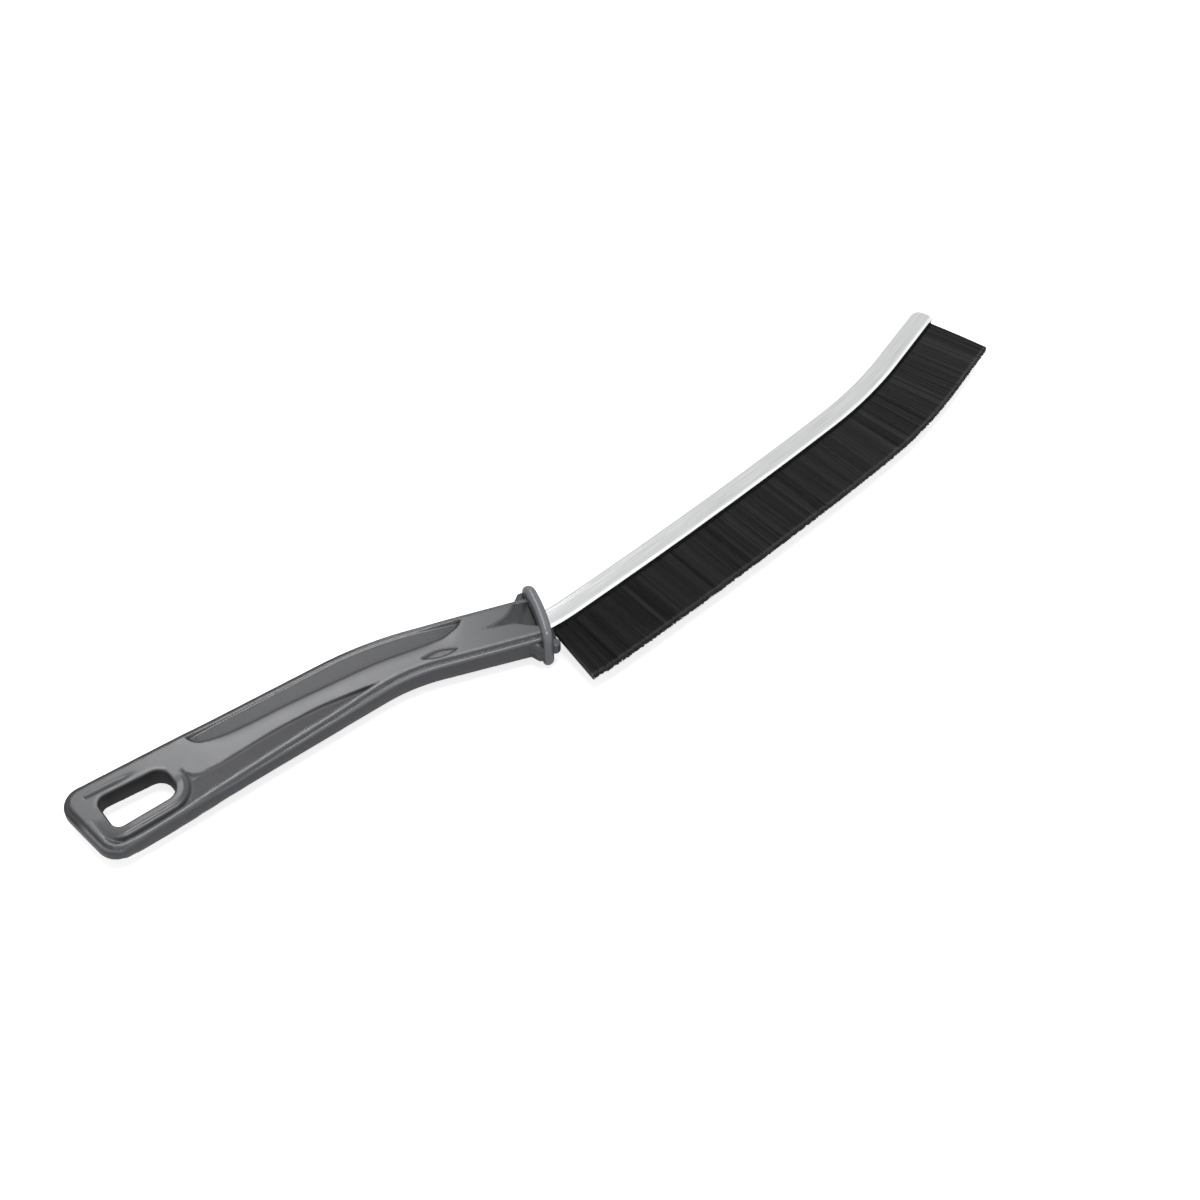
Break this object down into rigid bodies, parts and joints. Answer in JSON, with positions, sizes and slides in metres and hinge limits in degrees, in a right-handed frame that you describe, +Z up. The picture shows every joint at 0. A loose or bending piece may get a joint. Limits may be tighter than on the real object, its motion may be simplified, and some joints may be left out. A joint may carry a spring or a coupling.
{
  "type": "crevice brush",
  "caption": "Narrow crevice brush: a bent moulded handle with a hang slot and a guard, and a curved metal channel that holds a row of stiff nylon bristles.",
  "frame": {"origin": "in the hang slot, halfway along it, on the pommel's middle line and halfway through the thickness", "axes": "+X from the pommel to the bristled tip, bristles point to -Y, +Z up through the thickness"},
  "size_m": [0.2387, 0.0404, 0.0108],
  "materials": {
    "handle_plastic": "satin gloss",
    "channel_metal": "brushed",
    "wire_metal": "drawn",
    "nylon": "black filament"
  },
  "bodies": {
    "handle": {"handle": "handle_plastic", "channel": "channel_metal", "core_wire": "wire_metal", "filament_roots": "nylon"},
    "bristles_1": {"tuft_1_1": "nylon", "tuft_1_2": "nylon", "tuft_1_3": "nylon", "tuft_1_4": "nylon"},
    "bristles_2": {"tuft_2_1": "nylon", "tuft_2_2": "nylon", "tuft_2_3": "nylon", "tuft_2_4": "nylon"},
    "bristles_3": {"tuft_3_1": "nylon", "tuft_3_2": "nylon", "tuft_3_3": "nylon", "tuft_3_4": "nylon"},
    "bristles_4": {"tuft_4_1": "nylon", "tuft_4_2": "nylon", "tuft_4_3": "nylon", "tuft_4_4": "nylon"},
    "bristles_5": {"tuft_5_1": "nylon", "tuft_5_2": "nylon", "tuft_5_3": "nylon", "tuft_5_4": "nylon"},
    "bristles_6": {"tuft_6_1": "nylon", "tuft_6_2": "nylon", "tuft_6_3": "nylon", "tuft_6_4": "nylon"},
    "bristles_7": {"tuft_7_1": "nylon", "tuft_7_2": "nylon", "tuft_7_3": "nylon", "tuft_7_4": "nylon"}
  },
  "joints": [
    {"name": "bristles_1_flex", "type": "hinge", "parent": "handle", "child": "bristles_1", "pos_m": [0.10152, -0.01599, 0], "axis": [0.9984, 0.0573, 0], "range_deg": [-30, 30], "stiffness_Nm_per_rad": 0.005},
    {"name": "bristles_2_flex", "type": "hinge", "parent": "handle", "child": "bristles_2", "pos_m": [0.12012, -0.01438, 0], "axis": [0.996, 0.0893, 0], "range_deg": [-30, 30], "stiffness_Nm_per_rad": 0.005},
    {"name": "bristles_3_flex", "type": "hinge", "parent": "handle", "child": "bristles_3", "pos_m": [0.13854, -0.0126, 0], "axis": [0.9947, 0.1027, 0], "range_deg": [-30, 30], "stiffness_Nm_per_rad": 0.005},
    {"name": "bristles_4_flex", "type": "hinge", "parent": "handle", "child": "bristles_4", "pos_m": [0.15693, -0.01058, 0], "axis": [0.9932, 0.1161, 0], "range_deg": [-30, 30], "stiffness_Nm_per_rad": 0.005},
    {"name": "bristles_5_flex", "type": "hinge", "parent": "handle", "child": "bristles_5", "pos_m": [0.17535, -0.00832, 0], "axis": [0.9907, 0.1358, 0], "range_deg": [-30, 30], "stiffness_Nm_per_rad": 0.005},
    {"name": "bristles_6_flex", "type": "hinge", "parent": "handle", "child": "bristles_6", "pos_m": [0.19389, -0.00485, 0], "axis": [0.9658, 0.2594, 0], "range_deg": [-30, 30], "stiffness_Nm_per_rad": 0.005},
    {"name": "bristles_7_flex", "type": "hinge", "parent": "handle", "child": "bristles_7", "pos_m": [0.21165, 0.00122, 0], "axis": [0.9369, 0.3497, 0], "range_deg": [-30, 30], "stiffness_Nm_per_rad": 0.005}
  ]
}
